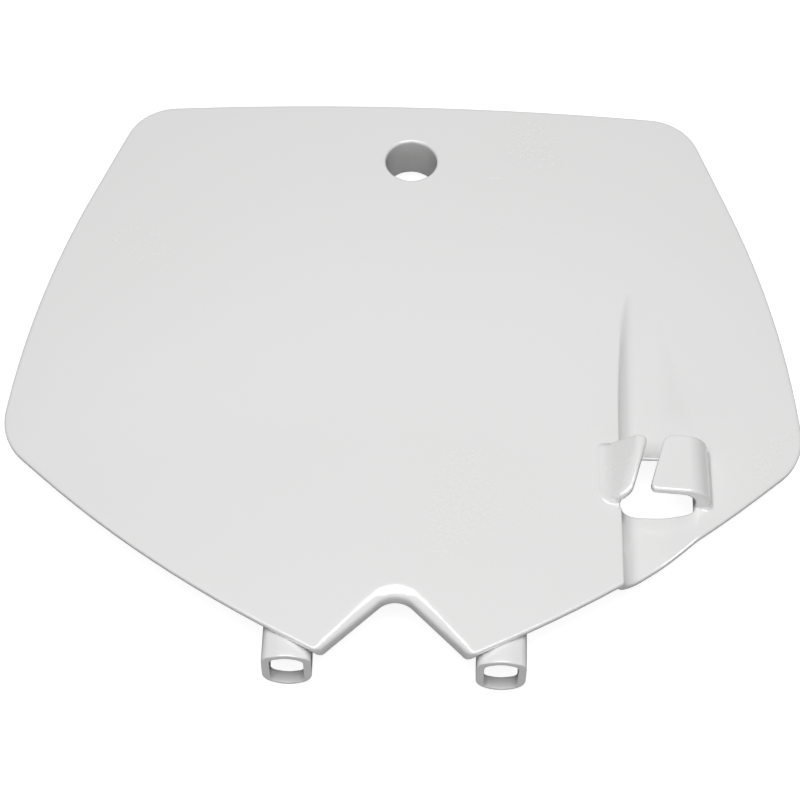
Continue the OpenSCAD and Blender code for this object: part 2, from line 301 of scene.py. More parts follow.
def rounded_loop(bm, corners, steps=12):
    """A face inside corner points (x, y, radius), its corners turned by the spin operator."""
    points = [Vector((x, y, 0)) for x, y, _ in corners]
    first = last = None
    for i, (_, _, radius) in enumerate(corners):
        start, centre, turn = rounded_corner(
            points[i - 1], points[i], points[(i + 1) % len(points)], radius
        )
        vert = bm.verts.new(start)
        if last:
            bm.edges.new((last, vert))
        first = first or vert
        last = vert
        if radius > 0:
            spun = bmesh.ops.spin(bm, geom=[vert], cent=centre, axis=Z_AXIS, angle=turn,
                                  steps=steps, use_duplicate=False)
            last = only(BMVert, spun["geom_last"])[0]
    closing = bm.edges.new((last, first))
    loop = [closing]
    vert = first
    while True:
        edge = [e for e in vert.link_edges if e not in loop[-1:]][0]
        if edge is closing:
            break
        loop.append(edge)
        vert = edge.other_vert(vert)
    return bmesh.ops.contextual_create(bm, geom=loop)["faces"][0]


def rings(bm, face, widths):
    """Insets a face step by step, and gives the edges of its first outline."""
    made = []
    for width in widths:
        made += bmesh.ops.inset_region(bm, faces=[face], thickness=width, use_even_offset=True,
                                       use_boundary=True)["faces"]
    return [e for f in made for e in f.edges if len(e.link_faces) == 1]


def steps_between(marks):
    return [b - a for a, b in zip(marks, marks[1:])]


def outline_corners(o):
    """Corner points (x, y, radius) of the board, anticlockwise from the point of the notch."""
    low = -o.height / 2
    bend = (o.side_bend_width / 2, low + o.side_bend_height)
    below = (o.low_bend_width / 2, low + o.low_bend_height)
    side_x = o.width / 2
    for _ in range(3):
        corner = Vector((side_x, low + o.side_corner_height, 0))
        _, centre, _ = rounded_corner(Vector((*bend, 0)), corner, Vector((*below, 0)),
                                      o.side_radius)
        side_x += o.width / 2 - (centre.x + o.side_radius)
    right = [
        (o.leg_width / 2, low + o.leg_height, o.leg_radius),
        (*below, o.low_bend_radius),
        (side_x, low + o.side_corner_height, o.side_radius),
        (*bend, o.side_bend_radius),
        (o.top_width / 2, -low, o.top_radius),
    ]
    left = [(-x, y, r) for x, y, r in reversed(right)]
    return [(0, low + o.notch_height, o.notch_radius), *right, *left]


def path_points(corners, steps=12):
    """Points of an open path whose inner corners (x, y, radius) are rounded."""
    points = [Vector((x, y, 0)) for x, y, _ in corners]
    path = [points[0]]
    for i in range(1, len(points) - 1):
        radius = corners[i][2]
        if radius <= 0:
            path.append(points[i])
            continue
        start, centre, turn = rounded_corner(points[i - 1], points[i], points[i + 1], radius)
        arm = start - centre
        path += [centre + Matrix.Rotation(turn * k / steps, 3, "Z") @ arm for k in range(steps + 1)]
    return np.array([p.xy for p in (*path, points[-1])])


def distance_to_path(places, path):
    """Distance from places (x, y) to an open path."""
    best = np.full(len(places), 1e9)
    for a, b in zip(path, path[1:]):
        along = b - a
        share = np.clip((places - a) @ along / (along @ along), 0, 1)
        best = np.minimum(best, np.linalg.norm(places - a - share[:, None] * along, axis=1))
    return best


def rounded_drop(distance, radius):
    """How far a quarter-round edge has dropped at a distance from its rim."""
    reach = np.clip(radius - distance, 0, radius)
    return radius - np.sqrt(np.maximum(radius * radius - reach * reach, 0))


def eased(value, start, end):
    share = np.clip((value - start) / (end - start), 0, 1)
    return share * share * (3 - 2 * share)


@lru_cache(maxsize=None)
def channel_section(rise_steps, behind):
    """Height across the hose channel, from its middle, with the floor raised by so many steps."""
    c, s = bpy.context.scene.board_channel, bpy.context.scene.board_sheet
    rise, half, deep = rise_steps * RISE_STEP, c.width / 2, c.depth - c.floor_rise
    above = 10 * MM
    path = path_points([
        (-half - above * tan(c.left_lean), above, 0),
        (-half + c.depth * tan(c.left_lean), -c.depth, c.left_radius),
        (half - deep / tan(c.right_slope), -deep, c.right_radius),
        (half + above / tan(c.right_slope), above, 0),
    ], 24)
    if behind:
        along = np.gradient(path, axis=0)
        normal = np.stack([along[:, 1], -along[:, 0]], 1)
        path = path + s.wall * normal / np.linalg.norm(normal, axis=1)[:, None]
    top = -s.wall if behind else 0.0
    path[:, 1] += rise
    below = path[:, 1] < top
    inner = path[below]
    if len(inner) < 2:
        return np.array([-1.0, 1.0]), np.array([top, top])
    first, last = np.argmax(below), len(below) - np.argmax(below[::-1]) - 1
    ends = []
    for i, j in ((first, first - 1), (last, last + 1)):
        share = (top - path[i, 1]) / (path[j, 1] - path[i, 1])
        ends.append(path[i] + share * (path[j] - path[i]))
    line = np.vstack([[ends[0][0] - 20 * MM, top], ends[0], inner, ends[1],
                      [ends[1][0] + 20 * MM, top]])
    run = np.concatenate([[0], np.cumsum(np.linalg.norm(np.diff(line, axis=0), axis=1))])
    even = np.arange(0, run[-1], SECTION_STEP)
    places = np.stack([np.interp(even, run, line[:, k]) for k in (0, 1)], 1)
    soft = [smoothed(places, r) for r in (c.left_soft, c.right_soft)]
    share = eased(places[:, 0], 0, half)[:, None]
    blend = soft[0] * (1 - share) + soft[1] * share
    return np.maximum.accumulate(blend[:, 0]), blend[:, 1]


def smoothed(places, radius):
    """A path's points averaged with their neighbours within a radius."""
    half = max(1, round(radius / SECTION_STEP))
    kernel = np.hanning(2 * half + 3)[1:-1]
    kernel /= kernel.sum()
    padded = np.pad(places, ((half, half), (0, 0)), mode="edge")
    return np.stack([np.convolve(padded[:, k], kernel, "valid") for k in (0, 1)], 1)


def channel_heights(across, up, behind):
    """Height of the channel at places across it and up the board, all as arrays."""
    c, o = bpy.context.scene.board_channel, bpy.context.scene.board_outline
    slope, ease = tan(c.ramp_slope), 8 * MM
    past = up - (c.ramp_height - o.height / 2)
    rise = np.where(past > ease, past, np.clip(past + ease, 0, None) ** 2 / (4 * ease)) * slope
    steps = np.round(rise / RISE_STEP).astype(int)
    heights = np.empty(len(across))
    for step in np.unique(steps):
        chosen = steps == step
        u, h = channel_section(int(step), behind)
        heights[chosen] = np.interp(across[chosen], u, h)
    return heights


def bend(place, radius, top):
    """Turns a flat place (x across, z out of the face) round the axis that the sheet is bent to."""
    turn = asin(place.x / radius)
    reach = radius + place.z
    return Vector((reach * sin(turn), place.y, top - radius + reach * cos(turn)))


def shade_and_place(bm, name, context):
    """Makes the object of a finished piece, gives it its plastic and lets it ride the board."""
    mesh = bpy.data.meshes.new(name)
    bm.to_mesh(mesh)
    bm.free()
    piece = bpy.data.objects.new(name, mesh)
    context.collection.objects.link(piece)
    mesh.materials.append(white_plastic(context))
    mesh.polygons.foreach_set("use_smooth", [True] * len(mesh.polygons))
    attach(piece, BODY)
    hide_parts(NODE)
    return piece


def sharpen(bm, angle):
    """Marks the edges whose faces turn by more than an angle."""
    for edge in bm.edges:
        edge.smooth = not (edge.is_manifold and edge.calc_face_angle(0) > angle)


def slice_sheet(bm, axis, places, keep_out):
    """Cuts the sheet along planes across one axis, apart from the faces round the bore."""
    normal = Vector([float(k == axis) for k in range(3)])
    for place in places:
        faces = [f for f in bm.faces if not keep_out(f)
                 and min(v.co[axis] for v in f.verts) < place < max(v.co[axis] for v in f.verts)]
        edges = {e for f in faces for e in f.edges}
        verts = {v for f in faces for v in f.verts}
        bmesh.ops.bisect_plane(bm, geom=[*verts, *edges, *faces], dist=SLICE_MERGE,
                               plane_co=normal * place, plane_no=normal)


def spread(low, high, pitch):
    count = max(1, round((high - low) / pitch))
    return [low + (high - low) * (k + 0.5) / count for k in range(count)]


class MakeSheet(bpy.types.Operator):
    """Make the bent sheet with its rolled notch, hose channel, window and bolt boss"""

    bl_idname = "mesh.number_board_sheet"
    bl_label = "Sheet and Boss"

    def execute(self, context):
        scene = context.scene
        o, s, b, c = scene.board_outline, scene.board_sheet, scene.board_boss, scene.board_channel
        low = -o.height / 2
        bore_at = Vector((0, low + b.height, 0))
        corners = outline_corners(o)
        edge = s.edge_radius
        rim_marks = [0, 0.1 * edge, 0.3 * edge, 0.6 * edge, edge, 1.6 * MM,
                     s.wall - 0.1 * MM, s.wall + 0.1 * MM]

        bm = bmesh.new()
        board_face = rounded_loop(bm, corners)
        rings(bm, board_face, steps_between(rim_marks))

        outer = b.diameter / 2 + b.root_radius
        circle = bmesh.ops.create_circle(bm, cap_ends=True, radius=outer, segments=b.sides,
                                         matrix=Matrix.Translation(bore_at))
        bore_face = circle["verts"][0].link_faces[0]
        mouth = b.mouth_radius
        bore_marks = [outer, b.diameter / 2, b.bore / 2 + mouth + 0.6 * MM,
                      b.bore / 2 + mouth + 0.1 * MM, b.bore / 2 + mouth]
        bore_marks += [b.bore / 2 + mouth * (1 - sin(pi / 2 * k / 5)) for k in range(1, 6)]
        bore_edges = rings(bm, bore_face, [-step for step in steps_between(bore_marks)])

        half = c.width / 2
        w_low, w_high = low + c.window_height, low + c.window_height + c.window_length
        left, right = c.x - half - 0.2 * MM, c.x - half + c.window_width
        window = [(left - edge, w_low - edge, 1.5 * MM), (right + edge, w_low - edge, 3 * MM),
                  (right + edge, w_high + edge, 3 * MM), (left - edge, w_high + edge, 1.5 * MM)]
        window_face = rounded_loop(bm, window, 6)
        window_edges = rings(bm, window_face, [0.4 * edge, 0.3 * edge, 0.2 * edge, 0.1 * edge])

        inner_edges = list(board_face.edges)
        bmesh.ops.delete(bm, geom=[board_face], context="FACES_ONLY")
        bmesh.ops.delete(bm, geom=[bore_face, window_face], context="FACES")
        filled = bmesh.ops.triangle_fill(bm, use_beauty=True, use_dissolve=False,
                                         edges=[*inner_edges, *bore_edges, *window_edges],
                                         normal=Z_AXIS)["geom"]
        fill_faces = set(only(BMFace, filled))
        fill_inner = [e for e in only(BMEdge, filled) if all(f in fill_faces for f in e.link_faces)]
        bmesh.ops.dissolve_limit(bm, angle_limit=radians(1), use_dissolve_boundaries=False,
                                 verts=[], edges=fill_inner)

        def near_bore(face):
            return all((v.co.xy - bore_at.xy).length < outer + CLOSE for v in face.verts)

        x_places = spread(-o.width / 2, o.width / 2, s.pitch)
        x_places += spread(c.x - half - 4 * MM, c.x - half + 1.6 * MM, 0.2 * MM)
        x_places += spread(c.x - half + 1.6 * MM, c.x + half + 12 * MM, s.fine_pitch)
        x_places += spread(-o.leg_width / 2 - 4 * MM, o.leg_width / 2 + 4 * MM, s.fine_pitch)
        y_places = spread(low, -low, s.pitch)
        y_places += spread(low, low + o.notch_height + 6 * MM, s.fine_pitch)
        y_places += spread(low + c.ramp_height - 10 * MM, low + c.ramp_height + 75 * MM,
                           2 * s.fine_pitch)
        slice_sheet(bm, 0, sorted(x_places), near_bore)
        slice_sheet(bm, 1, sorted(y_places), near_bore)
        bmesh.ops.remove_doubles(bm, verts=bm.verts, dist=MERGE)
        bmesh.ops.triangulate(bm, faces=[f for f in bm.faces if len(f.verts) > 4],
                              ngon_method="BEAUTY")

        bmesh.ops.recalc_face_normals(bm, faces=bm.faces)
        turned = bmesh.ops.extrude_face_region(bm, geom=bm.faces[:])
        back = only(BMVert, turned["geom"])
        bmesh.ops.translate(bm, verts=back, vec=(0, 0, -s.wall))
        back_set = set(back)
        bmesh.ops.recalc_face_normals(bm, faces=bm.faces)

        places = np.array([v.co[:] for v in bm.verts])
        behind = np.array([v in back_set for v in bm.verts])
        self.press(context, places, behind, corners, window, bore_at)
        for v, place in zip(bm.verts, places):
            v.co = place

        self.raise_boss(bm, b, s, bore_at, back_set)
        bmesh.ops.recalc_face_normals(bm, faces=bm.faces)
        for v in bm.verts:
            v.co = bend(v.co, s.face_radius, s.face_height)
        sharpen(bm, CRISP)
        shade_and_place(bm, "board_sheet", context)
        return {"FINISHED"}

    def press(self, context, places, behind, corners, window, bore_at):
        """Rounds the edges of the flat sheet, rolls the notch and presses the hose channel."""
        scene = context.scene
        o, s, b, c = scene.board_outline, scene.board_sheet, scene.board_boss, scene.board_channel
        flat, edge = places[:, :2], s.edge_radius
        rim = distance_to_path(flat, path_points([*corners[-1:], *corners, corners[0], corners[1]]))
        hole = [(x + edge * (1 if k in (0, 3) else -1), y + edge * (1 if k < 2 else -1), r)
                for k, (x, y, r) in enumerate(window)]
        rim = np.minimum(rim, distance_to_path(flat, path_points([*hole[-1:], *hole, hole[0]])))

        front = channel_heights(flat[:, 0] - c.x, flat[:, 1], False)
        rear = channel_heights(flat[:, 0] - c.x, flat[:, 1], True)
        rear = np.minimum(rear, front - 0.6 * s.wall)

        tips = [(-o.leg_width / 2, -o.height / 2 + o.leg_height, 0), corners[0],
                (o.leg_width / 2, -o.height / 2 + o.leg_height, 0)]
        notch = distance_to_path(flat, path_points(tips, 12))
        out = np.abs(flat[:, 0]) / (o.leg_width / 2)
        share = 1 + (s.roll_end - 1) * eased(out, 0.35, 1.0)
        slow, quick, lean = s.roll_slow * share, s.roll_quick * share, s.roll_lean
        reach = slow * sin(lean) + quick * (1 - sin(lean))
        fade = 1 - eased(out, 0.9, 1.12)
        turn = np.arcsin(np.clip((reach - notch) / slow, 0, sin(lean)))
        tight = np.arcsin(np.clip(1 - notch / quick, sin(lean), 1))
        drop = slow * (1 - np.cos(turn)) + quick * (cos(lean) - np.cos(tight))
        front -= drop * fade
        inner = slow - s.wall
        along = np.clip(reach - notch, 0, 0.95 * inner)
        rear_drop = inner - np.sqrt(inner ** 2 - along ** 2)
        lip = s.lip_depth - s.wall
        rear -= np.where(notch < s.wall, lip, np.minimum(rear_drop, lip)) * fade

        front -= rounded_drop(rim, edge)
        rear += rounded_drop(rim, edge)
        away = np.linalg.norm(flat - np.array(bore_at.xy), axis=1)
        front -= rounded_drop(away - b.bore / 2, b.mouth_radius)
        places[:, 2] = np.where(behind, rear, front)
        top_edge = -o.height / 2 + c.window_height + c.window_length
        past = flat[:, 1] - top_edge
        near = behind & (np.abs(flat[:, 0] - c.x) < c.width / 2 - 0.5 * MM)
        near &= (past > -1.5 * MM) & (past < c.undercut_run)
        places[near, 1] += c.undercut * (1 - np.clip(past[near] / c.undercut_run, 0, 1))

    def raise_boss(self, bm, b, s, bore_at, back_set):
        """Draws the boss out of the back of the sheet, with its root fillet and rounded end."""
        def radius(v):
            return (v.co.xy - bore_at.xy).length

        keep = b.diameter / 2 + CLOSE
        ring = [f for f in bm.faces if all(v in back_set and radius(v) < keep for v in f.verts)]
        grown = bmesh.ops.extrude_face_region(bm, geom=ring)["geom"]
        end = set(only(BMVert, grown))
        for v in end:
            v.co.z = -b.depth
        foot = [e for e in bm.edges if all(abs(radius(v) - b.diameter / 2) < CLOSE
                                           and abs(v.co.z + s.wall) < 0.05 * MM for v in e.verts)
                and all(v not in end for v in e.verts)]
        rims = [e for e in bm.edges if all(v in end for v in e.verts) and any(
            abs(radius(v) - r) < CLOSE for r in (b.diameter / 2, b.bore / 2) for v in e.verts)
            and abs(radius(e.verts[0]) - radius(e.verts[1])) < 0.005 * MM]
        bmesh.ops.bevel(bm, geom=foot, offset=0.9 * b.root_radius, offset_type="OFFSET",
                        segments=4, profile=0.5, affect="EDGES", material=-1)
        bmesh.ops.bevel(bm, geom=[e for e in rims if e.is_valid], offset=0.5 * MM,
                        offset_type="OFFSET", segments=3, profile=0.5, affect="EDGES", material=-1)


def guide_matrix(c, s):
    """From the channel's own place on the front face, with +Z out of it, to the board."""
    turn = Matrix.Rotation(asin(c.x / s.face_radius), 4, "Y")
    centre = Matrix.Translation((0, 0, s.face_height - s.face_radius))
    return centre @ turn @ Matrix.Translation((0, 0, s.face_radius))


class MakeHooks(bpy.types.Operator):
    """Make the two hooks that close over the hose"""

    bl_idname = "mesh.number_board_hooks"
    bl_label = "Hooks"

    def execute(self, context):
        scene = context.scene
        o, s, c, h = scene.board_outline, scene.board_sheet, scene.board_channel, scene.board_hooks
        self.low = -o.height / 2 + h.height
        for side, name in ((-1, "hook_left"), (1, "hook_right")):
            bm = bmesh.new()
            self.section(bm, c, h, s)
            self.part(bm, h, side)
            self.round_corners(bm, c, h, side)
            self.skirt(bm, c, h, s, side)
            bm = self.melt(bm, h, context)
            self.soften_root(bm, c, h, s, side)
            bmesh.ops.transform(bm, matrix=guide_matrix(c, s), verts=bm.verts)
            shade_and_place(bm, name, context)
        return {"FINISHED"}

    def skirt_span(self, c, h, side):
        """Where the skirt of a hook starts and ends across the board."""
        if side < 0:
            return -c.width / 2 - h.foot_in - 9 * MM, -c.width / 2 - 1.0 * MM
        return c.width / 2 + c.right_soft, c.width / 2 + h.side_in + 4 * MM

    def skirt(self, bm, c, h, s, side):
        """A thin patch in the sheet round the root of a hook, for its fillet to run out on."""
        low, high = self.skirt_span(c, h, side)
        marks = [low + (high - low) * k / 12 for k in range(13)]
        top = [(x, -x * x / (2 * s.face_radius), 0) for x in marks]
        face = rounded_loop(bm, [(low, -s.wall / 2, 0), (high, -s.wall / 2, 0), *reversed(top)])
        draw_out(bm, face, self.low - h.skirt, h.length + 2 * h.skirt)

    def slot_point(self, h, side, y):
        """Where the edge of the slot passes a height on the board."""
        across = Matrix.Rotation(-h.slot_slant, 3, "Z") @ Vector((1, 0, 0))
        along = Vector((-across.y, across.x, 0))
        middle = Vector((h.slot_place, self.low + h.length / 2, 0))
        start = middle + across * side * h.slot_width / 2
        return start + along * (y - start.y) / along.y

    def round_corners(self, bm, c, h, side):
        """Rounds a hook's corners as they are seen from the front."""
        tip = self.slot_point(h, side, self.low + h.length)
        end = self.slot_point(h, side, self.low)
        away = Vector((side * 10 * MM, 0, 0))
        foot = Vector((-c.width / 2 - h.foot_in - 0.5 * MM, self.low, 0))
        if side < 0:
            jobs = ((tip + away, tip, end, LEFT_TIP, 1.0), (tip, end, end + away, LEFT_END, 1.0),
                    (end, foot, foot + Vector((0, 10 * MM, 0)), h.corner_radius, FOOT_SHARE))
        else:
            jobs = ((tip + away, tip, end, RIGHT_TIP, 1.0), (tip, end, end + away, RIGHT_END, 1.0))
        for before, point, after, radius, share in jobs:
            start, centre, turn = rounded_corner(before, point, after, radius)
            for k in range(1, CORNER_CUTS):
                out = Matrix.Rotation(turn * share * k / CORNER_CUTS, 3, "Z") @ (start - centre)
                cut_away(bm, centre + out, out.normalized(), clear_outer=True)
        bmesh.ops.recalc_face_normals(bm, faces=bm.faces)

    def melt(self, bm, h, context):
        """Melts a hook and its skirt into one skin."""
        mesh = bpy.data.meshes.new("melting")
        bm.to_mesh(mesh)
        bm.free()
        piece = bpy.data.objects.new("melting", mesh)
        context.collection.objects.link(piece)
        skin = piece.modifiers.new("skin", "REMESH")
        skin.mode, skin.voxel_size = "VOXEL", h.skin_pitch
        context.view_layer.update()
        bm = bmesh.new()
        bm.from_object(piece, context.evaluated_depsgraph_get())
        bpy.data.objects.remove(piece)
        bpy.data.meshes.remove(mesh)
        return bm

    def soften_root(self, bm, c, h, s, side):
        """Smooths the skin, most of all at the root, and lays the skirt on the sheet."""
        low, high = self.skirt_span(c, h, side)
        near, far = self.low - h.skirt, self.low + h.length + h.skirt

        def rise(v):
            return v.co.z + v.co.x ** 2 / (2 * s.face_radius)

        def smooth(verts, times):
            for _ in range(times):
                bmesh.ops.smooth_vert(bm, verts=verts, factor=0.5, use_axis_x=True,
                                      use_axis_y=True, use_axis_z=True)

        clear = [v for v in bm.verts if rise(v) > CLEAR_FROM]
        end = [v for v in clear if v.co.y < self.low + END_REACH]
        lip = [v for v in clear if side < 0
               and v.co.x > self.slot_point(h, side, v.co.y).x - LIP_ZONE]
        for v in clear if side < 0 else ():
            close = 1 - (self.slot_point(h, side, v.co.y).x - v.co.x) / h.lip_reach
            v.co.z -= h.lip_fall * min(max(close, 0), 1) ** 2
        root = [v for v in bm.verts if ROOT_FROM < rise(v) < ROOT_TO
                and low + 1.0 * MM < v.co.x < high + (5 * MM if side < 0 else 0)
                and not -c.width / 2 - 0.7 * MM < v.co.x < c.width / 2 + 1 * MM]
        for verts, times in ((bm.verts, SMOOTH_ALL), (end, SMOOTH_END), (lip, SMOOTH_LIP),
                             (root, SMOOTH_ROOT)):
            smooth(verts, times)
        for v in bm.verts:
            up = rise(v)
            if v.normal.z < 0.5 or up > 0.5 * MM or up < -0.8 * MM:
                continue
            if not low - 1 * MM < v.co.x < high + 1 * MM:
                continue
            edge = min(v.co.x - low if side < 0 else high - v.co.x, v.co.y - near, far - v.co.y)
            level = SKIRT_LEVEL - SKIRT_SINK * (1 - eased(edge, 0, 4 * MM))
            share = 1 - eased(up, 0.08 * MM, 0.5 * MM)
            v.co.z += share * (level - up)

    def section(self, bm, c, h, s):
        """The hooks' cross-section, drawn out along the channel."""
        half = c.width / 2
        foot, right = -half - h.foot_in, half + h.side_in
        slope = h.rise / h.run
        across = h.wall * sqrt(h.run ** 2 + h.rise ** 2) / h.rise
        inner, base = h.rise - h.wall, -s.wall / 2
        window_right = c.window_width - half

        def face_drop(x):
            return s.face_radius - sqrt(s.face_radius ** 2 - x * x)

        foot_end, side_end, sunk = foot - FOOT_OVERLAP, right + SIDE_OVERLAP, 0.1 * MM
        corners = [
            (foot_end, base, 0), (-half, base, 0),
            (-half, (-half - foot - across) * slope, h.wall / 2),
            (foot + inner / slope + across, inner, h.crown_radius - h.wall),
            (window_right, inner, h.crown_radius - h.wall), (window_right, base, 0),
            (side_end, base, 0), (side_end, -face_drop(side_end) - sunk, 0),
            (right + 0.3 * MM, -face_drop(right), 1.5 * MM), (right, h.rise, h.crown_radius),
            (foot + h.run, h.rise, h.crown_radius), (foot, -face_drop(foot), h.foot_radius),
            (foot_end, -face_drop(foot_end) - sunk, 0),
        ]
        face = rounded_loop(bm, corners, 14)
        draw_out(bm, face, self.low, h.length)

    def part(self, bm, h, side):
        """Keeps the hook on one side of the slanted slot."""
        across = Matrix.Rotation(-h.slot_slant, 3, "Z") @ Vector((1, 0, 0))
        middle = Vector((h.slot_place, self.low + h.length / 2, 0))
        cut_away(bm, middle + across * side * h.slot_width / 2, across * side, clear_inner=True)
        bmesh.ops.remove_doubles(bm, verts=bm.verts, dist=1e-6)
        bmesh.ops.recalc_face_normals(bm, faces=bm.faces)


class MakeEyelets(bpy.types.Operator):
    """Make the two eyelets behind the legs"""

    bl_idname = "mesh.number_board_eyelets"
    bl_label = "Eyelets"

    def execute(self, context):
        scene = context.scene
        o, s, e = scene.board_outline, scene.board_sheet, scene.board_eyelets
        for side, name in ((-1, "eyelet_left"), (1, "eyelet_right")):
            bm = bmesh.new()
            self.tube(bm, s, e)
            bmesh.ops.translate(bm, verts=bm.verts, vec=(side * e.spacing / 2, -o.height / 2, 0))
            sharpen(bm, CRISP)
            shade_and_place(bm, name, context)
        return {"FINISHED"}

    def tube(self, bm, s, e):
        """One eyelet: a flattened tube whose rear is cut back to a ring."""
        drop = s.face_radius - sqrt(s.face_radius ** 2 - (e.spacing / 2) ** 2)
        top = s.face_height - s.wall - drop + 0.5 * MM
        rise = top - e.end_wall - 0.5 * MM
        half, hole = e.width / 2, e.width / 2 - e.side_wall
        outside = rounded_loop(bm, [
            (0, -0.45 * MM, 9.8 * MM), (half, 3.6 * MM, 6 * MM), (half, top - 2.2 * MM, 3.5 * MM),
            (0, top + 0.6 * MM, 13 * MM), (-half, top - 2.2 * MM, 3.5 * MM),
            (-half, 3.6 * MM, 6 * MM),
        ])
        inside = rounded_loop(bm, [
            (0, e.end_wall - 0.3 * MM, 8.1 * MM), (hole, e.end_wall + 1.5 * MM, 3 * MM),
            (hole, rise - 1.5 * MM, 3 * MM), (0, rise + 0.3 * MM, 8.1 * MM),
            (-hole, rise - 1.5 * MM, 3 * MM), (-hole, e.end_wall + 1.5 * MM, 3 * MM),
        ])
        edges = [*outside.edges, *inside.edges]
        bmesh.ops.delete(bm, geom=[outside, inside], context="FACES_ONLY")
        bmesh.ops.bridge_loops(bm, edges=edges)
        bmesh.ops.rotate(bm, verts=bm.verts, cent=(0, 0, 0), matrix=UPRIGHT)
        cap = bm.faces[:]
        for _ in range(2):
            grown = bmesh.ops.extrude_face_region(bm, geom=cap)["geom"]
            cap, end = only(BMFace, grown), only(BMVert, grown)
            bmesh.ops.translate(bm, verts=end, vec=(0, e.ring / 2, 0))
        for v in end:
            share = min(max((v.co.z - e.ring_height) / (rise - e.ring_height), 0), 1)
            v.co.y = e.ring + share * (e.root - e.ring)
        bmesh.ops.recalc_face_normals(bm, faces=bm.faces)
        sharp = [g for g in bm.edges if g.is_manifold and g.calc_face_angle(0) > ROUNDED]
        bmesh.ops.bevel(bm, geom=sharp, offset=e.edge_radius, offset_type="OFFSET", segments=3,
                        profile=0.5, affect="EDGES", clamp_overlap=True, material=-1)


class Socket:
    """An output of a node tree that can be used in sums."""

    def __init__(self, tree, link):
        self.tree, self.link = tree, link

    def maths(self, operation, first, second=None, **settings):
        made = self.tree.nodes.new("ShaderNodeMath")
        made.operation = operation
        for name, value in settings.items():
            setattr(made, name, value)
        for slot, value in zip(made.inputs, (first, second)):
            if value is not None:
                feed(self.tree, slot, value)
        return Socket(self.tree, made.outputs[0])

    def __add__(self, other):
        return self.maths("ADD", self, other)

    def __radd__(self, other):
        return self.maths("ADD", other, self)

    def __sub__(self, other):
        return self.maths("SUBTRACT", self, other)

    def __rsub__(self, other):
        return self.maths("SUBTRACT", other, self)

    def __mul__(self, other):
        return self.maths("MULTIPLY", self, other)

    def __rmul__(self, other):
        return self.maths("MULTIPLY", other, self)

    def held(self):
        """This value held between 0 and 1."""
        return self.maths("ADD", self, 0.0, use_clamp=True)


def feed(tree, slot, value):
    """Links a socket, or sets a plain value."""
    if isinstance(value, Socket):
        tree.links.new(value.link, slot)
    else:
        slot.default_value = value


class Finish:
    """A material, the one method that adds a node to it, and a mix of two colours."""

    def __init__(self, name):
        self.material = bpy.data.materials.new(name)
        self.material.use_nodes = True
        self.tree = self.material.node_tree
        self.tree.nodes.clear()

    def node(self, kind, settings=None, output=0, **inputs):
        made = self.tree.nodes.new(kind)
        for name, value in (settings or {}).items():
            setattr(made, name, value)
        for name, value in inputs.items():
            wanted = name.replace("_", " ").lower()
            slot = next(s for s in made.inputs if s.name.lower() == wanted and s.enabled)
            feed(self.tree, slot, value)
        return Socket(self.tree, made.outputs[output]) if made.outputs else None

    def mixed(self, share, first, second):
        """A colour between two plain ones."""
        colour = self.node("ShaderNodeMix", {"data_type": "RGBA"}, output=2)
        slots = colour.link.node.inputs
        feed(self.tree, slots[MIX_SHARE], share)
        feed(self.tree, slots[MIX_FIRST], (*first, 1))
        feed(self.tree, slots[MIX_SECOND], (*second, 1))
        return colour


def white_plastic(context):
    """Glossy white plastic with faint patches, slow waves and very faint scuffs."""
    look = context.scene.board_plastic
    known = bpy.data.materials.get(LOOK)
    if known:
        return known
    p = Finish(LOOK)
    place = p.node("ShaderNodeTexCoord", output=3)

    def noise(scale, detail, roughness=0.5):
        return p.node("ShaderNodeTexNoise", {"noise_dimensions": "3D"}, vector=place, scale=scale,
                      detail=detail, roughness=roughness)

    clouds, grain = noise(9.0, 2.0), noise(900.0, 3.0)
    stretched = p.node("ShaderNodeMapping", {"vector_type": "POINT"}, vector=place,
                       rotation=(0, 0, radians(24)), scale=(30, 900, 200))
    scuffs = p.node("ShaderNodeTexNoise", {"noise_dimensions": "3D"}, vector=stretched, scale=1.0,
                    detail=4.0)
    scuff_mask = ((scuffs - 0.66) * 9.0).held() * ((noise(22.0, 2.0) - 0.5) * 5.0).held()
    patches = ((clouds - 0.42) * 3.0).held()
    colour = p.mixed(patches * 0.6, look.tint, look.aged_tint)
    rough = look.roughness + 0.05 * patches + 0.03 * grain + 0.02 * scuff_mask
    waves = p.node("ShaderNodeBump", strength=0.25, distance=look.waviness, height=noise(28.0, 1.0))
    shader = p.node("ShaderNodeBsdfPrincipled", base_color=colour, roughness=rough, normal=waves,
                    ior=1.49, coat_weight=look.coat, coat_roughness=0.12, coat_ior=1.6)
    p.node("ShaderNodeOutputMaterial", surface=shader)
    return p.material


def floor_finish(look):
    """Matt pale floor with a barely visible mottle, lit up white for the camera only."""
    p = Finish("pale_floor")
    place = p.node("ShaderNodeTexCoord", output=3)
    mottle = p.node("ShaderNodeTexNoise", vector=place, scale=3.0, detail=2.0)
    colour = p.mixed(mottle * 0.3, look.floor_colour, [c * 0.985 for c in look.floor_colour])
    glow = p.mixed(p.node("ShaderNodeLightPath"), (0, 0, 0), (1, 1, 1))
    shader = p.node("ShaderNodeBsdfPrincipled", base_color=colour, roughness=0.9,
                    emission_color=glow, emission_strength=look.floor_glow)
    p.node("ShaderNodeOutputMaterial", surface=shader)
    return p.material


# Softboxes: name, place and aim in metres, width and depth in metres, radiance
SOFTBOXES = (
    ("overhead", (0.02, -0.28, 1.25), (0.02, -0.28, 0.0), (1.15, 0.95), 5.2),
    ("behind", (0.0, 1.5, 1.2), (0.0, 0.0, 0.0), (2.0, 1.2), 0.35),
    ("front", (0.0, -1.6, 0.4), (0.0, -0.1, 0.0), (2.0, 0.8), 1.0),
)


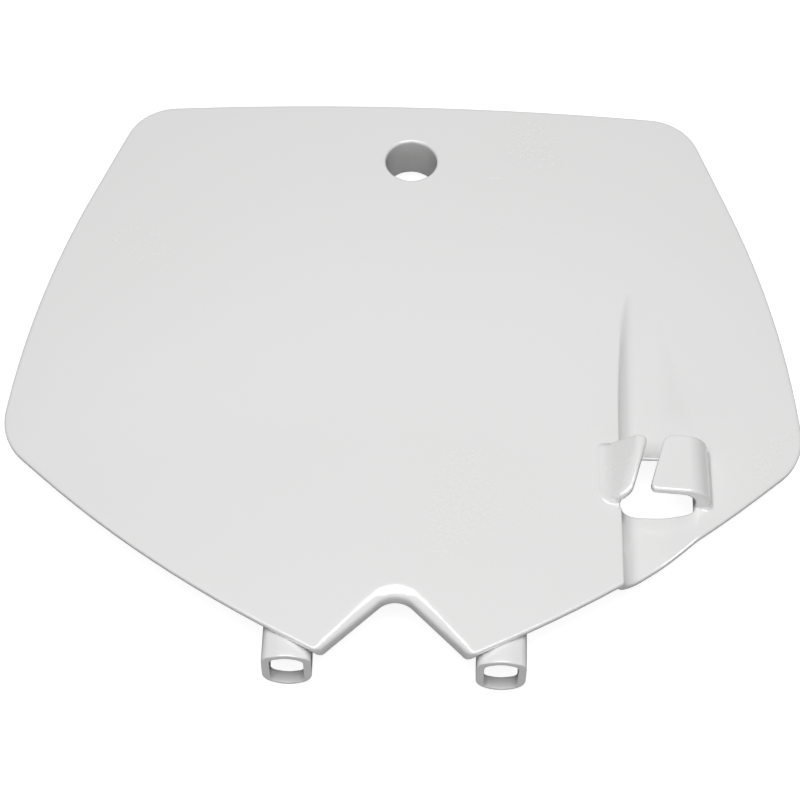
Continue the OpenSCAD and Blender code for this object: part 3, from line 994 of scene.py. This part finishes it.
class MakeStage(bpy.types.Operator):
    """Make the pale floor, the soft lights and the camera"""

    bl_idname = "scene.number_board_stage"
    bl_label = "Stage"

    def execute(self, context):
        look = context.scene.board_stage
        self.floor(context, look)
        self.lights(context, look)
        self.camera(context, look)
        return {"FINISHED"}

    def floor(self, context, look):
        bm = bmesh.new()
        bmesh.ops.create_grid(bm, x_segments=1, y_segments=1, size=look.floor_side / 2,
                              matrix=Matrix.Translation((0, 0, -look.floor_gap)))
        mesh = bpy.data.meshes.new("floor")
        bm.to_mesh(mesh)
        bm.free()
        mesh.materials.append(floor_finish(look))
        floor = bpy.data.objects.new("floor", mesh)
        context.collection.objects.link(floor)

    def lights(self, context, look):
        context.scene.view_settings.view_transform = "Standard"
        world = bpy.data.worlds.new("studio")
        context.scene.world = world
        world.use_nodes = True
        sky = world.node_tree.nodes["Background"]
        sky.inputs["Color"].default_value = (1.0, 1.0, 1.0, 1)
        sky.inputs["Strength"].default_value = look.sky
        for name, place, aim, sides, radiance in SOFTBOXES:
            lamp = bpy.data.lights.new(name, "AREA")
            lamp.shape, lamp.size, lamp.size_y = "RECTANGLE", *sides
            lamp.energy = radiance * pi * sides[0] * sides[1]
            light = bpy.data.objects.new(name, lamp)
            light.location = place
            towards = Vector(aim) - Vector(place)
            light.rotation_euler = towards.to_track_quat("-Z", "Y").to_euler()
            context.collection.objects.link(light)

    def camera(self, context, look):
        a, e, r = look.azimuth, look.elevation, look.roll
        back = Vector((sin(a) * cos(e), -cos(a) * cos(e), sin(e)))
        level = Vector((cos(a), sin(a), 0))
        upright = back.cross(level)
        right = cos(r) * level + sin(r) * upright
        up = cos(r) * upright - sin(r) * level
        data = bpy.data.cameras.new("camera")
        data.lens = look.lens
        camera = bpy.data.objects.new("camera", data)
        turned = Matrix((right, up, back)).transposed().to_4x4()
        camera.matrix_world = Matrix.Translation(look.camera_place) @ turned
        context.collection.objects.link(camera)
        context.scene.camera = camera


class BoardPanel(bpy.types.Panel):
    """Sizes, looks and buttons of the number board"""

    bl_idname = "VIEW3D_PT_number_board"
    bl_label = "Number Board"
    bl_space_type = "VIEW_3D"
    bl_region_type = "UI"
    bl_category = "Number Board"

    def draw(self, context):
        for name, group in GROUPS.items():
            box = self.layout.box()
            box.label(text=group.bl_rna.name)
            for prop in group.__annotations__:
                box.prop(getattr(context.scene, name), prop)
        for operator in OPERATORS:
            self.layout.operator(operator.bl_idname)


GROUPS = {
    "board_outline": BoardOutlineSizes,
    "board_sheet": SheetSizes,
    "board_boss": BossSizes,
    "board_eyelets": EyeletSizes,
    "board_channel": ChannelSizes,
    "board_hooks": HookSizes,
    "board_plastic": PlasticLook,
    "board_stage": StageLook,
}
OPERATORS = (MakeStage, MakeSheet, MakeHooks, MakeEyelets)


def register():
    for cls in (*GROUPS.values(), *OPERATORS, BoardPanel):
        bpy.utils.register_class(cls)
    for name, group in GROUPS.items():
        setattr(bpy.types.Scene, name, PointerProperty(type=group))


def unregister():
    for name in GROUPS:
        delattr(bpy.types.Scene, name)
    for cls in reversed((*GROUPS.values(), *OPERATORS, BoardPanel)):
        bpy.utils.unregister_class(cls)


def main():
    register()
    bpy.ops.scene.number_board_stage()
    bpy.ops.mesh.number_board_sheet()
    bpy.ops.mesh.number_board_hooks()
    bpy.ops.mesh.number_board_eyelets()


if __name__ == "__main__":
    main()
